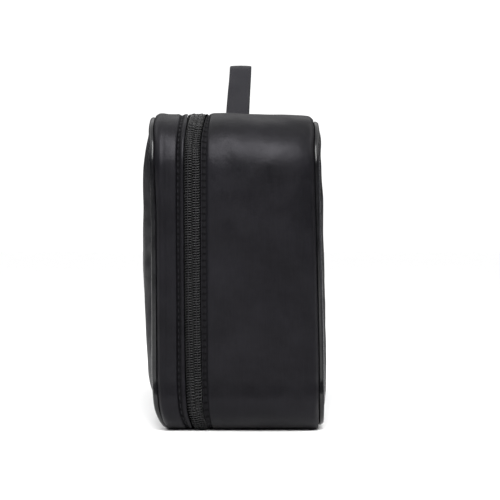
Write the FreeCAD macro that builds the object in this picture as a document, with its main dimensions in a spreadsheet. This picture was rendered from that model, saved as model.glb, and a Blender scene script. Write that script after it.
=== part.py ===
import FreeCAD, Part
import math
import os
import Sketcher

# Clamshell shoe bag standing on its long bottom side, in millimetres.
# X runs along the length, the front panel faces -Y, +Z is up, and the origin is the
# middle of the bottom. A zip runs up one end, over the top and down the other end, and
# the front part (the lid) opens forward about its bottom seam.
#
# "Depth" of a layer means how far it lies inside the outer skin of the bag.

os.makedirs("parts", exist_ok=True)
doc = FreeCAD.newDocument("shoe_bag")

# ---------------------------------------------------------------- driving dimensions
SIZES = {
    "bag_length": 330,
    "bag_height": 210,
    "corner_radius": 38,
    "front_seam": -50,
    "rear_seam": 55,
    "front_crown": 15,
    "rear_crown": 10,
    "skin": 1.0,
    "foam_top": 1.1,
    "foam_bottom": 3.4,
    "lining_top": 3.5,
    "lining_bottom": 4.0,
    "lining_thick": 0.5,
    "piping_radius": 1.9,
    "piping_inset": 1.9,
    "seam_gap": 0.6,
    "crown_inset": 54,
    "binding_width": 8,
    "binding_thick": 1.6,
    "zip_line": -26,
    "zip_end": 112,
    "fold_edge": 7,
    "zip_gap": 0.8,
    "coil_width": 5,
    "coil_top": 0.1,
    "tape_top": 2.0,
    "tape_bottom": 2.6,
    "tape_width": 13,
    "board_thick": 1.2,
    "tab_length": 12,
    "strap_width": 16,
    "strap_thick": 1.6,
    "strap_line": 2,
    "strap_foot": 54,
    "strap_rise": 48.2,
    "strap_bend": 16,
    "strap_sewn": 24,
    "root_rise": 14,
    "slider_length": 13,
    "slider_width": 12.4,
    "plate_thick": 0.9,
    "slider_start": 3,
    "puller_length": 24,
    "puller_width": 7,
    "puller_thick": 1.2,
}

sheet = doc.addObject("Spreadsheet::Sheet", "Sizes")
for row, (alias, number) in enumerate(SIZES.items(), start=1):
    sheet.set(f"A{row}", alias)
    sheet.set(f"B{row}", str(number))
    sheet.setAlias(f"B{row}", alias)
doc.recompute()

XY = "XY_Plane"
XZ = "XZ_Plane"
YZ = "YZ_Plane"
QUARTER = math.pi / 2
NOTHING = 1e-9
finished = []


def value(expression):
    """The number that an expression in the sheet's aliases gives now."""
    return float(sheet.evalExpression(with_sheet(expression)))


def with_sheet(expression):
    """The expression with each alias written as a cell of the sheet."""
    words = []
    word = ""
    for letter in str(expression) + " ":
        if letter.isalnum() or letter in "_.":
            word += letter
            continue
        words.append("Sizes." + word if word in SIZES else word)
        words.append(letter)
        word = ""
    return "".join(words).strip()


def bind(thing, prop, expression):
    """Ties one size of a feature or sketch to the sheet."""
    thing.setExpression(prop, with_sheet(expression))


def new_body(name):
    """A named body for one piece of the bag."""
    body = doc.addObject("PartDesign::Body", name)
    body.Label = name
    finished.append(body)
    return body


def new_sketch(body, role, offset="0"):
    """A sketch on one of the body's own planes, moved along that plane's normal."""
    sketch = body.newObject("Sketcher::SketchObject", body.Name + "_sketch")
    plane = [feature for feature in body.Origin.OriginFeatures if feature.Role == role][0]
    sketch.AttachmentSupport = [(plane, "")]
    sketch.MapMode = "FlatFace"
    bind(sketch, "AttachmentOffset.Base.z", offset)
    return sketch


def at_y(y):
    """Offset of an XZ-plane sketch, whose normal is -Y, that puts it at this Y."""
    return f"0 - ({y})"


def rule(sketch, name, expression, kind, *places):
    """A named dimension of a sketch, tied to the sheet."""
    number = sketch.addConstraint(Sketcher.Constraint(kind, *places, value(expression)))
    sketch.renameConstraint(number, name)
    bind(sketch, "Constraints." + name, expression)


def rounded_outline(sketch, name, inset, radius):
    """The bag's outline seen from the front, moved inwards by the inset all round."""
    half = value(f"bag_length / 2 - ({inset})")
    low = value(inset)
    high = value(f"bag_height - ({inset})")
    r = value(radius)
    centres = [(half - r, low + r), (half - r, high - r), (r - half, high - r), (r - half, low + r)]
    starts = [(r - half, low), (half, low + r), (half - r, high), (-half, high - r)]
    ends = [(half - r, low), (half, high - r), (r - half, high), (-half, low + r)]
    up = FreeCAD.Vector(0, 0, 1)
    lines = []
    arcs = []
    for side in range(4):
        a = FreeCAD.Vector(*starts[side], 0)
        b = FreeCAD.Vector(*ends[side], 0)
        lines.append(sketch.addGeometry(Part.LineSegment(a, b)))
        circle = Part.Circle(FreeCAD.Vector(*centres[side], 0), up, r)
        arcs.append(sketch.addGeometry(Part.ArcOfCircle(circle, (side - 1) * QUARTER, side * QUARTER)))
    for side in range(4):
        sketch.addConstraint(Sketcher.Constraint("Tangent", lines[side], 2, arcs[side], 1))
        sketch.addConstraint(Sketcher.Constraint("Tangent", arcs[side], 2, lines[(side + 1) % 4], 1))
    sketch.addConstraint(Sketcher.Constraint("Vertical", lines[1]))
    sketch.addConstraint(Sketcher.Constraint("Horizontal", lines[2]))
    sketch.addConstraint(Sketcher.Constraint("Vertical", lines[3]))
    for side in range(1, 4):
        sketch.addConstraint(Sketcher.Constraint("Equal", arcs[0], arcs[side]))
    sketch.addConstraint(Sketcher.Constraint("Symmetric", lines[0], 1, lines[0], 2, -2))
    rule(sketch, name + "_wide", f"bag_length - 2 * ({inset})", "DistanceX", lines[3], 2, lines[1], 1)
    rule(sketch, name + "_tall", f"bag_height - 2 * ({inset})", "DistanceY", lines[0], 1, lines[2], 2)
    rule(sketch, name + "_low", inset, "DistanceY", -1, 1, lines[0], 1)
    rule(sketch, name + "_round", radius, "Radius", arcs[0])
    return lines, arcs


def polygon(sketch, points):
    """A closed outline of straight runs; every corner is tied to the sheet."""
    spots = [FreeCAD.Vector(value(u), value(v), 0) for u, v in points]
    count = len(points)
    edges = []
    for k in range(count):
        edges.append(sketch.addGeometry(Part.LineSegment(spots[k], spots[(k + 1) % count])))
    for k in range(count):
        sketch.addConstraint(Sketcher.Constraint("Coincident", edges[k], 2, edges[(k + 1) % count], 1))
    for k, (u, v) in enumerate(points):
        place(sketch, f"corner{k}_u", "DistanceX", u, edges[k])
        place(sketch, f"corner{k}_v", "DistanceY", v, edges[k])


def rectangle(sketch, u_low, u_high, v_low, v_high):
    """A closed rectangle between two places along each of the sketch's directions."""
    polygon(sketch, [(u_low, v_low), (u_high, v_low), (u_high, v_high), (u_low, v_high)])


def place(sketch, name, kind, expression, edge, end=1):
    """Sets one coordinate of an edge's end, on either side of the origin or on its axis."""
    number = value(expression)
    if abs(number) < NOTHING:
        axis = -2 if kind == "DistanceX" else -1
        sketch.addConstraint(Sketcher.Constraint("PointOnObject", edge, end, axis))
    elif number < 0:
        rule(sketch, name, f"0 - ({expression})", kind, edge, end, -1, 1)
    else:
        rule(sketch, name, expression, kind, -1, 1, edge, end)


def pad(body, sketch, length):
    """Adds material along the sketch's normal."""
    feature = body.newObject("PartDesign::Pad", body.Name + "_pad")
    feature.Profile = sketch
    bind(feature, "Length", length)
    doc.recompute()
    return feature


def block(body, x_low, x_high, y_low, y_high, z_low, z_high):
    """Adds one box-shaped stretch of material to a body."""
    sketch = new_sketch(body, XY, z_low)
    rectangle(sketch, x_low, x_high, y_low, y_high)
    return pad(body, sketch, f"({z_high}) - ({z_low})")


def pocket(body, sketch):
    """Cuts right through the body on both sides of the sketch, and proves that it cut."""
    before = body.Shape.Volume
    feature = body.newObject("PartDesign::Pocket", body.Name + "_pocket")
    feature.Profile = sketch
    feature.Type = "ThroughAll"
    feature.SideType = "Symmetric"
    doc.recompute()
    if not body.Shape.Volume < before - 0.01:
        raise RuntimeError(body.Label + ": a pocket cut nothing")
    return feature


# ---------------------------------------------------------------- shapes used many times
def ring(name, outer, inner, y_low, y_high):
    """A band that follows the bag's outline, between two depths, from y_low to y_high."""
    body = new_body(name)
    sketch = new_sketch(body, XZ, at_y(y_high))
    rounded_outline(sketch, "outer", outer, f"corner_radius - ({outer})")
    rounded_outline(sketch, "inner", inner, f"corner_radius - ({inner})")
    pad(body, sketch, f"({y_high}) - ({y_low})")
    return body


def open_ring(name, outer, inner, y_low, y_high):
    """The same band with its bottom run removed between the two ends of the zip."""
    body = ring(name, outer, inner, y_low, y_high)
    sketch = new_sketch(body, XZ)
    rectangle(sketch, "0 - zip_end", "zip_end", "0 - corner_radius / 2", "corner_radius / 2")
    pocket(body, sketch)
    return body


def plate(name, half_length, y_low, y_high, z_low, z_high):
    """A flat layer of the bottom, between the zip's ends."""
    body = new_body(name)
    block(body, f"0 - ({half_length})", half_length, y_low, y_high, z_low, z_high)
    return body


CROWN_STEPS = (0, 30, 60, 90)


def crown_loft(body, kind, seam, crown, depth, outward):
    """A pillow-shaped solid that stands out of the seam's plane as a quarter ellipse."""
    sections = []
    base = "piping_radius + 0.2"
    for step in CROWN_STEPS:
        rise = f"({crown} - {base} - ({depth})) * sin({step} deg)"
        inset = f"1 + ({depth}) + crown_inset * (1 - cos({step} deg))"
        y = f"{seam} + {outward} * ({base} + {rise})"
        sketch = new_sketch(body, XZ, at_y(y))
        rounded_outline(sketch, "outline", inset, f"corner_radius - 0.3 * ({inset})")
        sections.append(sketch)
    feature = body.newObject(kind, body.Name + "_loft")
    feature.Profile = sections[0]
    feature.Sections = sections[1:]
    doc.recompute()
    return feature


def panel_layer(name, seam, crown, top, bottom, outward):
    """One layer of a crowned panel: a pillow less the same pillow further in."""
    body = new_body(name)
    crown_loft(body, "PartDesign::AdditiveLoft", seam, crown, top, outward)
    whole = body.Shape.Volume
    crown_loft(body, "PartDesign::SubtractiveLoft", seam, crown, bottom, outward)
    if not 0 < body.Shape.Volume < whole / 2:
        raise RuntimeError(name + ": the panel was not hollowed")
    return body


def piping(name, seam):
    """A round cord that runs all the way round a seam."""
    body = new_body(name)
    path = new_sketch(body, XZ, at_y(seam))
    rounded_outline(path, "path", "piping_inset", "corner_radius - piping_inset")
    profile = new_sketch(body, YZ, "0 - (bag_length / 2 - corner_radius)")
    centre = FreeCAD.Vector(value(seam), value("piping_inset"), 0)
    radius = value("piping_radius")
    circle = profile.addGeometry(Part.Circle(centre, FreeCAD.Vector(0, 0, 1), radius))
    rule(profile, "cord_radius", "piping_radius", "Radius", circle)
    place(profile, "cord_seam", "DistanceX", seam, circle, 3)
    place(profile, "cord_inset", "DistanceY", "piping_inset", circle, 3)
    sweep = body.newObject("PartDesign::AdditivePipe", name + "_pipe")
    sweep.Profile = profile
    sweep.Spine = path
    doc.recompute()
    return body


# ---------------------------------------------------------------- the bag's own pieces
SEAM_CLEAR = "piping_radius + seam_gap"
BOTTOM_LINING = "foam_bottom + 0.2 + board_thick"
REAR_EDGE = f"rear_seam - ({SEAM_CLEAR})"
FRONT_EDGE = f"front_seam + {SEAM_CLEAR}"


def rear_gusset():
    """The wide band behind the zip, with its foam and its lining."""
    open_ring("rear_gusset", "0", "skin", "zip_line + fold_edge", REAR_EDGE)
    open_ring("rear_gusset_foam", "foam_top", "foam_bottom", "zip_line + tape_width + 0.6", REAR_EDGE)
    open_ring("rear_gusset_lining", "lining_top", "lining_bottom", "zip_line + fold_edge + 1", REAR_EDGE)


def front_gusset():
    """The narrow band between the zip and the front panel, which opens with the lid."""
    open_ring("front_gusset", "0", "skin", FRONT_EDGE, "zip_line - fold_edge")
    open_ring("front_gusset_foam", "foam_top", "foam_bottom", FRONT_EDGE, "zip_line - tape_width - 0.6")
    open_ring("front_gusset_lining", "lining_top", "lining_bottom", FRONT_EDGE, "zip_line - fold_edge - 1")


def bottom():
    """The bottom piece that joins the two ends of the zip, its layers and its board."""
    half = "zip_end - 0.4"
    board_low = "foam_bottom + 0.1"
    board_high = "foam_bottom + 0.1 + board_thick"
    plate("bottom_gusset", half, FRONT_EDGE, REAR_EDGE, "0", "skin")
    plate("bottom_foam", half, FRONT_EDGE, REAR_EDGE, "foam_top", "foam_bottom")
    plate("bottom_board", half, "front_seam + 6", "rear_seam - 6", board_low, board_high)
    plate("bottom_lining", half, FRONT_EDGE, REAR_EDGE, BOTTOM_LINING, f"{BOTTOM_LINING} + lining_thick")


def panels():
    """The front and back panels, each of three layers."""
    layers = {
        "": ("0", "skin"),
        "_foam": ("foam_top", "foam_bottom"),
        "_lining": ("lining_top", "lining_bottom"),
    }
    for suffix, (top, bottom_depth) in layers.items():
        panel_layer("front_panel" + suffix, "front_seam", "front_crown", top, bottom_depth, "-1")
        panel_layer("back_panel" + suffix, "rear_seam", "rear_crown", top, bottom_depth, "1")


def seams():
    """The piping in both seams and the binding over the raw edges inside."""
    for side in ("front", "rear"):
        seam = side + "_seam"
        piping(side + "_piping", seam)
        top = "2 * piping_radius + 0.5"
        half = "binding_thick / 2"
        ring(side + "_seam_binding", top, f"{top} + binding_width", f"{seam} - {half}", f"{seam} + {half}")


def zip_halves():
    """The two halves of the zip: a tape with a coil of teeth along its inner edge."""
    gap = "zip_gap"
    depths = ("tape_top", "tape_bottom")
    open_ring("rear_zip_tape", *depths, f"zip_line + {gap}", "zip_line + tape_width")
    open_ring("front_zip_tape", *depths, "zip_line - tape_width", f"zip_line - {gap}")
    teeth = ("coil_top", "tape_top")
    open_ring("rear_zip_coil", *teeth, f"zip_line + {gap}", "zip_line + coil_width")
    open_ring("front_zip_coil", *teeth, "zip_line - coil_width", f"zip_line - {gap}")


def zip_end_tab(name, side):
    """A fabric tab sewn across the underside of one end of the zip, inside the bag."""
    body = new_body(name)
    near = f"{side} * (zip_end - tab_length)"
    far = f"{side} * (zip_end - 1)"
    low = f"{BOTTOM_LINING} + lining_thick + 0.1"
    block(body, near, far, "zip_line - tape_width", "zip_line + tape_width", low, f"{low} + skin")
    return body


# ---------------------------------------------------------------- handle
STRAP_CENTRE = "bag_height + 0.2 + strap_thick / 2"
STRAP_FRONT = "strap_line - strap_width / 2"
STRAP_REAR = "strap_line + strap_width / 2"


def strap_path(sketch):
    """The strap's centre line: a leg up from each foot and one bend at the top."""
    foot = value("strap_foot")
    ground = value(STRAP_CENTRE)
    bend = value("strap_bend")
    centre = FreeCAD.Vector(0, ground + value("strap_rise") - bend, 0)
    start = FreeCAD.Vector(foot, ground, 0)
    away = start - centre
    lean = (bend / away.Length)
    side = FreeCAD.Vector(-away.y, away.x, 0)
    touch = centre + away * lean ** 2 + side * (lean * (1 - lean ** 2) ** 0.5)
    mirrored = FreeCAD.Vector(-touch.x, touch.y, 0)
    top = FreeCAD.Vector(0, centre.y + bend, 0)
    right = sketch.addGeometry(Part.LineSegment(start, touch))
    arc = sketch.addGeometry(Part.Arc(touch, top, mirrored))
    left = sketch.addGeometry(Part.LineSegment(mirrored, FreeCAD.Vector(-foot, ground, 0)))
    return right, arc, left


def strap_spine(body):
    """The sketch of the strap's centre line, with its dimensions tied to the sheet."""
    path = new_sketch(body, XZ, "0 - strap_line")
    right, arc, left = strap_path(path)
    path.addConstraint(Sketcher.Constraint("Tangent", right, 2, arc, 1))
    path.addConstraint(Sketcher.Constraint("Tangent", arc, 2, left, 1))
    path.addConstraint(Sketcher.Constraint("PointOnObject", arc, 3, -2))
    rule(path, "foot_right", "strap_foot", "DistanceX", -1, 1, right, 1)
    rule(path, "foot_left", "strap_foot", "DistanceX", left, 2, -1, 1)
    rule(path, "ground_right", STRAP_CENTRE, "DistanceY", -1, 1, right, 1)
    rule(path, "ground_left", STRAP_CENTRE, "DistanceY", -1, 1, left, 2)
    rule(path, "bend", "strap_bend", "Radius", arc)
    middle = f"{STRAP_CENTRE} + strap_rise - strap_bend"
    rule(path, "bend_middle", middle, "DistanceY", -1, 1, arc, 3)
    return path


def strap_piece(name, *cuts):
    """The strap's solid, less the stretches of height that are given."""
    body = new_body(name)
    path = strap_spine(body)
    profile = new_sketch(body, XY, STRAP_CENTRE)
    line = path.Geometry[0]
    slope = abs((line.EndPoint - line.StartPoint).normalize().y)
    half_thick = f"strap_thick / 2 / {slope}"
    foot_in = f"strap_foot - {half_thick}"
    foot_out = f"strap_foot + {half_thick}"
    rectangle(profile, foot_in, foot_out, STRAP_FRONT, STRAP_REAR)
    sweep = body.newObject("PartDesign::AdditivePipe", name + "_pipe")
    sweep.Profile = profile
    sweep.Spine = path
    doc.recompute()
    reach = "(strap_foot + 20)"
    for low, high in cuts:
        trim = new_sketch(body, XZ)
        rectangle(trim, f"0 - {reach}", reach, low, high)
        pocket(body, trim)
    return body


def sewn_layer(name, side, near, far, margin, low, thick):
    """A flat layer along one sewn end of the strap, wider than it by a margin."""
    body = new_body(name)
    x_near = f"{side} * ({near})"
    x_far = f"{side} * ({far})"
    y_low = f"{STRAP_FRONT} - {margin}"
    y_high = f"{STRAP_REAR} + {margin}"
    block(body, x_near, x_far, y_low, y_high, low, f"{low} + {thick}")
    return body


def handle():
    """The strap: its sewn ends, the flexing roots just above them, and the loop."""
    split = "bag_height + root_rise"
    apex = "bag_height + strap_rise + 10"
    strap_piece("handle_strap", ("bag_height - 5", f"{split} + 0.15"))
    strap_piece("handle_roots", ("bag_height - 5", STRAP_CENTRE), (f"{split} - 0.15", apex))
    start = "strap_foot + 1.6"
    end = f"{start} + strap_sewn"
    inside = "bag_height - lining_bottom - 1.4"
    for hand, side in (("left", "-1"), ("right", "1")):
        sewn_layer("handle_end_" + hand, side, start, end, "0", "bag_height + 0.2", "strap_thick")
        sewn_layer("handle_patch_" + hand, side, "strap_foot - 3", f"{end} + 4", "5", inside, "1.2")


# ---------------------------------------------------------------- zip sliders
PLATE_LOW = "bag_height + 1"
PLATE_HIGH = f"{PLATE_LOW} + plate_thick"
PIVOT_HEIGHT = f"{PLATE_HIGH} + 1.2"
PIVOT_REACH = "slider_start + 4.6"


def slider(name, side):
    """A slider: two plates joined by the wedge between the teeth, with a bridge on top."""
    body = new_body(name)
    near = f"{side} * slider_start"
    far = f"{side} * (slider_start + slider_length)"
    y_low = "zip_line - slider_width / 2"
    y_high = "zip_line + slider_width / 2"
    block(body, near, far, y_low, y_high, PLATE_LOW, PLATE_HIGH)
    wedge_far = f"{side} * (slider_start + 4)"
    lower = "bag_height - tape_bottom - 0.4"
    block(body, near, wedge_far, "zip_line - 0.45", "zip_line + 0.45", f"{lower} - plate_thick", PLATE_LOW)
    block(body, near, far, y_low, y_high, f"{lower} - plate_thick", lower)
    flange = "zip_line + coil_width + 0.4"
    block(body, near, far, flange, y_high, "bag_height - tape_top + 0.4", PLATE_LOW)
    bridge(body, side)
    return body


def bridge(body, side):
    """The arch over the slider that holds the puller's bar."""
    sketch = new_sketch(body, XZ, at_y("zip_line + 1"))
    low = f"{PLATE_HIGH} - 0.1"
    spring = f"{PIVOT_HEIGHT} + 1.1"
    crest = f"{PIVOT_HEIGHT} + 2.1"
    reach = [f"{side} * ({PIVOT_REACH} + {step})" for step in ("0 - 3.4", "0 - 2.2", "2.4", "3.6")]
    corners = [
        (reach[0], low),
        (reach[1], low),
        (reach[1], spring),
        (reach[2], spring),
        (reach[2], low),
        (reach[3], low),
        (reach[3], crest),
        (reach[0], crest),
    ]
    polygon(sketch, corners)
    return pad(body, sketch, "2")


def puller(name, side):
    """A flat pull tab whose end bar lies under the slider's bridge."""
    body = new_body(name)
    pivot = f"{side} * ({PIVOT_REACH})"
    bar = new_sketch(body, XZ, at_y("zip_line + puller_width / 2"))
    centre = FreeCAD.Vector(value(pivot), value(PIVOT_HEIGHT), 0)
    circle = bar.addGeometry(Part.Circle(centre, FreeCAD.Vector(0, 0, 1), value("puller_thick / 2")))
    rule(bar, "bar_radius", "puller_thick / 2", "Radius", circle)
    place(bar, "pivot_x", "DistanceX", pivot, circle, 3)
    place(bar, "pivot_z", "DistanceY", PIVOT_HEIGHT, circle, 3)
    pad(body, bar, "puller_width")
    half_thick = "puller_thick / 2"
    low = f"{PIVOT_HEIGHT} - {half_thick}"
    high = f"{PIVOT_HEIGHT} + {half_thick}"
    y_low = "zip_line - puller_width / 2"
    y_high = "zip_line + puller_width / 2"
    eye = f"{side} * ({PIVOT_REACH} + 6)"
    end = f"{side} * ({PIVOT_REACH} + puller_length)"
    arm = "2.0"
    block(body, pivot, eye, y_low, f"{y_low} + {arm}", low, high)
    block(body, pivot, eye, f"{y_high} - {arm}", y_high, low, high)
    block(body, eye, end, y_low, y_high, low, high)
    return body


# ---------------------------------------------------------------- build, test and write
def check_and_write():
    """Refuses a failed feature or a bad solid, then writes one file for each piece."""
    doc.recompute()
    for item in doc.Objects:
        if "Invalid" in item.State or "Error" in item.State:
            raise RuntimeError(item.Label + " failed: " + str(item.State))
    for body in finished:
        shape = body.Shape
        if shape.isNull() or not shape.isValid() or shape.Volume <= 0:
            raise RuntimeError(body.Label + " has no valid solid")
        shape.exportStep("parts/" + body.Label + ".step")
        box = shape.BoundBox
        low = (round(box.XMin, 1), round(box.YMin, 1), round(box.ZMin, 1))
        high = (round(box.XMax, 1), round(box.YMax, 1), round(box.ZMax, 1))
        print(body.Label, len(shape.Solids), round(shape.Volume), low, high)


rear_gusset()
front_gusset()
bottom()
panels()
seams()
zip_halves()
zip_end_tab("zip_end_tab_left", "-1")
zip_end_tab("zip_end_tab_right", "1")
handle()
slider("slider_left", "-1")
slider("slider_right", "1")
puller("puller_left", "-1")
puller("puller_right", "1")
check_and_write()
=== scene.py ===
import math

import bpy
import numpy as np
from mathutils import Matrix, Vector, noise


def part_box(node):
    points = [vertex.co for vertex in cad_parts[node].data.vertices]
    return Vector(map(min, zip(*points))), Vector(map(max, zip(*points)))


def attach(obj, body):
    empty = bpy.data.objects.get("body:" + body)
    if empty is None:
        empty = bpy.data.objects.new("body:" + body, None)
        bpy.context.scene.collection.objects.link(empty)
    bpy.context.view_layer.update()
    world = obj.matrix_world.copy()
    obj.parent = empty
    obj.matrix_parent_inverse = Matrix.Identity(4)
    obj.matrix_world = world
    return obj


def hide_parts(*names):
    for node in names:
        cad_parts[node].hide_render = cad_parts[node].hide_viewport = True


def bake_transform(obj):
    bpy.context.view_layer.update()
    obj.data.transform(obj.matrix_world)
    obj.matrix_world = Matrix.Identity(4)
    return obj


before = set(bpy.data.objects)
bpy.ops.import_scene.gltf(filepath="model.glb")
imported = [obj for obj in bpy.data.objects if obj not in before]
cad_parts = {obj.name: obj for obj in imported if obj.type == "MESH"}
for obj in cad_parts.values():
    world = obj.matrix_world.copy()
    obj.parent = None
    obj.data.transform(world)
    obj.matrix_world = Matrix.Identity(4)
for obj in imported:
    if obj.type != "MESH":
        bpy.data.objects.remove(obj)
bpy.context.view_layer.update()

# -------- sizes, from the frame
MM = 0.001
PI = math.pi
gusset_low, gusset_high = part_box("rear_gusset")
HALF = gusset_high.x                       # half of the bag's length
TOP = gusset_high.z                        # height of the bag without its strap
CORNER = 38 * MM                           # radius of the outline's corners
ZIP_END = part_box("bottom_gusset")[1].x     # where the zip stops on the underside
ZIP_Y = (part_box("front_zip_coil")[1].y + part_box("rear_zip_coil")[0].y) / 2
FRONT_SEAM = sum(corner.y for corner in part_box("front_piping")) / 2
REAR_SEAM = sum(corner.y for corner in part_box("rear_piping")) / 2
FOLD = gusset_low.y - ZIP_Y                # from the zip's middle to each folded edge
FRONT_HEM = 7.2 * MM                       # middles of the puffed edges, from the zip's middle
REAR_HEM = 6.4 * MM
FRONT_STITCH = 9.5 * MM                    # rows of topstitching, from the zip's middle
REAR_STITCH = 8.2 * MM
STITCH_PITCH = 4.3 * MM
STITCH_LONG = 3.1 * MM                     # the part of the pitch that shows thread
STITCH_START = 3 * MM                      # from the zip's end to the first stitch
STRAP_LOW, STRAP_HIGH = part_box("handle_strap")
STRAP_Y = (STRAP_LOW.y + STRAP_HIGH.y) / 2
STRAP_HALF = (STRAP_HIGH.y - STRAP_LOW.y) / 2
STRAP_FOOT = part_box("handle_end_right")[0].x - 1.6 * MM    # where the strap leaves the bag
STRAP_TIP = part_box("handle_end_right")[1].x

SIDE_RUN = TOP - 2 * CORNER
HALF_RUN = HALF - CORNER
ARC = CORNER * PI / 2
GIRTH = 4 * HALF_RUN + 4 * ARC + 2 * SIDE_RUN
ZIP_START = ZIP_END                        # along the outline from the middle of the bottom
ZIP_STOP = GIRTH - ZIP_END


# -------- the bag's surface
def outline(s):
    """Points (x, z) and outward normals of the outline, s metres round from the bottom's middle."""
    s = np.asarray(s, float) % GIRTH
    stops = np.cumsum([HALF_RUN, ARC, SIDE_RUN, ARC, 2 * HALF_RUN, ARC, SIDE_RUN, ARC])
    starts = np.concatenate([[0], stops[:-1]])
    x = np.zeros_like(s)
    z = np.zeros_like(s)
    nx = np.zeros_like(s)
    nz = np.zeros_like(s)
    straight = [
        (0, (0, 0), (1, 0)),
        (2, (HALF, CORNER), (0, 1)),
        (4, (HALF_RUN, TOP), (-1, 0)),
        (6, (-HALF, TOP - CORNER), (0, -1)),
    ]
    for k, (x0, z0), (dx, dz) in straight:
        on = (s >= starts[k]) & (s <= stops[k])
        t = s[on] - starts[k]
        x[on] = x0 + dx * t
        z[on] = z0 + dz * t
        nx[on] = dz
        nz[on] = -dx
    last = s > stops[7]
    x[last] = -HALF_RUN + (s[last] - stops[7])
    nz[last] = -1
    arcs = [
        (1, (HALF_RUN, CORNER), -PI / 2),
        (3, (HALF_RUN, TOP - CORNER), 0),
        (5, (-HALF_RUN, TOP - CORNER), PI / 2),
        (7, (-HALF_RUN, CORNER), PI),
    ]
    for k, (xc, zc), turn in arcs:
        on = (s > starts[k]) & (s < stops[k])
        a = turn + (s[on] - starts[k]) / CORNER
        nx[on] = np.cos(a)
        nz[on] = np.sin(a)
        x[on] = xc + CORNER * nx[on]
        z[on] = zc + CORNER * nz[on]
    return x, z, nx, nz


def normals(s):
    """The outline's outward normals as points (x, 0, z)."""
    _, _, nx, nz = outline(s)
    return np.stack([nx, np.zeros_like(nx), nz], axis=1)


def smooth(low, high, t):
    """0 below low, 1 above high, and a smooth step between."""
    t = np.clip((t - low) / (high - low), 0, 1)
    return t * t * (3 - 2 * t)


def hill(middle, width, t):
    """1 at the middle, falling away like a bell over the width."""
    return np.exp(-(((t - middle) / width) ** 2))


def rumple(points, grain, seed):
    """Smooth noise between about -1 and 1 at each point; grain is the size of its lumps."""
    shift = Vector((seed * 3.7, seed * 1.3, seed * 2.9))
    return np.array([noise.noise(Vector(p) / grain + shift) for p in points])


def swell(s, y):
    """How far the padded cloth stands out of the plain outline."""
    x, z, nx, nz = outline(s)
    up = np.clip(nz, 0, 1)
    across = np.abs(nx)
    free = 1 - smooth(0.5, 0.9, -nz)       # 0 under the bag, where it stands
    off = y - ZIP_Y
    behind = np.clip((off - FOLD) / (REAR_SEAM - ZIP_Y - FOLD), 0, 1)
    out = (0.4 + 1.4 * across) * MM * np.sin(PI * behind) * free
    out = out - 1.3 * MM * behind * up     # the top falls a little towards the rear seam
    out = out - rear_dip(y, up, across) * MM * free
    out = out - front_dip(y, up) * MM * free
    out = out + 2.0 * MM * across * np.sin(PI * np.clip(z / TOP, 0, 1))
    out = out + hem(off)
    out = out + 4.7 * MM * up * top_hump(x, y) * smooth(7 * MM, 13 * MM, np.abs(off))
    out = out + foot_spread(z, nx, nz)
    points = np.stack([x, y, z], axis=1)
    near_corner = hill(TOP - 22 * MM, 30 * MM, z) * smooth(HALF - 60 * MM, HALF - 25 * MM, np.abs(x))
    away_from_zip = smooth(FOLD, FOLD + 12 * MM, np.abs(off))
    soft = rumple(points * np.array([1, 0.8, 0.6]), 26 * MM, 1) * (0.75 * MM + 0.9 * MM * near_corner)
    fine = rumple(points * np.array([1, 1, 0.7]), 11 * MM, 2) * (0.20 * MM + 0.25 * MM * near_corner)
    at_zip = 0.25 * across                 # none along the top, where the sliders run
    return out + (soft + fine) * free * (at_zip + (1 - at_zip) * away_from_zip)


def rear_dip(y, up, across):
    """Mm by which the sewing pulls the cloth in at the rear seam, with a wide slope before it."""
    wide = 1.5 * hill(REAR_SEAM, 8 * MM, y) * across
    return wide + (2.6 - 0.8 * up) * hill(REAR_SEAM, 1.8 * MM, y)


def front_dip(y, up):
    """Mm by which the front seam pulls the cloth in; negative where the band puffs beside it."""
    puff = 1.2 * hill(FRONT_SEAM + 4 * MM, 3.5 * MM, y)
    return (2.2 - 1.2 * up) * hill(FRONT_SEAM, 1.4 * MM, y) - puff


def top_hump(x, y):
    """Two soft humps along the top, one each side of the strap and beside the zip."""
    rise = hill(75 * MM, 42 * MM, np.abs(x)) * smooth(FRONT_SEAM, FRONT_SEAM + 22 * MM, y)
    return rise * (1 - smooth(ZIP_Y + 12 * MM, ZIP_Y + 40 * MM, y))


def foot_spread(z, nx, nz):
    """The padded lower corners squat outwards where the bag stands on them."""
    diagonal = 2 * np.abs(nx) * np.clip(-nz, 0, 1)
    return 7.0 * MM * diagonal ** 1.5 * (1 - smooth(CORNER * 0.6, CORNER, z))


def hem(off):
    """The puffed edges beside the zip and the grooves that the topstitching pulls in."""
    puff = 0.30 * hill(-FRONT_HEM, 1.7 * MM, off) + 0.50 * hill(REAR_HEM, 1.7 * MM, off)
    groove = hill(-FRONT_STITCH, 1.0 * MM, off) + hill(REAR_STITCH, 1.0 * MM, off)
    return MM * (puff - 1.3 * groove)


def lean(s, y):
    """How far the two seams and the cloth between them have slipped along Y."""
    x, z, nx, _ = outline(s)
    by_seam = 1 - smooth(FRONT_SEAM, FRONT_SEAM + 13 * MM, y)
    ahead = 1 - smooth(FRONT_SEAM, 20 * MM, y)
    behind = smooth(20 * MM, REAR_SEAM, y)
    top = hill(TOP + 3 * MM, 15 * MM, z) * smooth(HALF_RUN - 5 * MM, HALF_RUN + 7 * MM, np.abs(x))
    foot = (1 - smooth(25 * MM, 90 * MM, z)) * np.abs(nx)
    ends = 0.7 * smooth(0.5, 1.0, np.abs(nx)) * hill(ZIP_Y, 9 * MM, y)
    zip_line = (3.0 * top * hill(ZIP_Y, 11 * MM, y) + 1.3 * foot * hill(ZIP_Y, 6 * MM, y) - ends) * MM
    return front_top(z) * by_seam + front_foot(x, z) * ahead + rear_lean(z) * behind + zip_line


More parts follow.
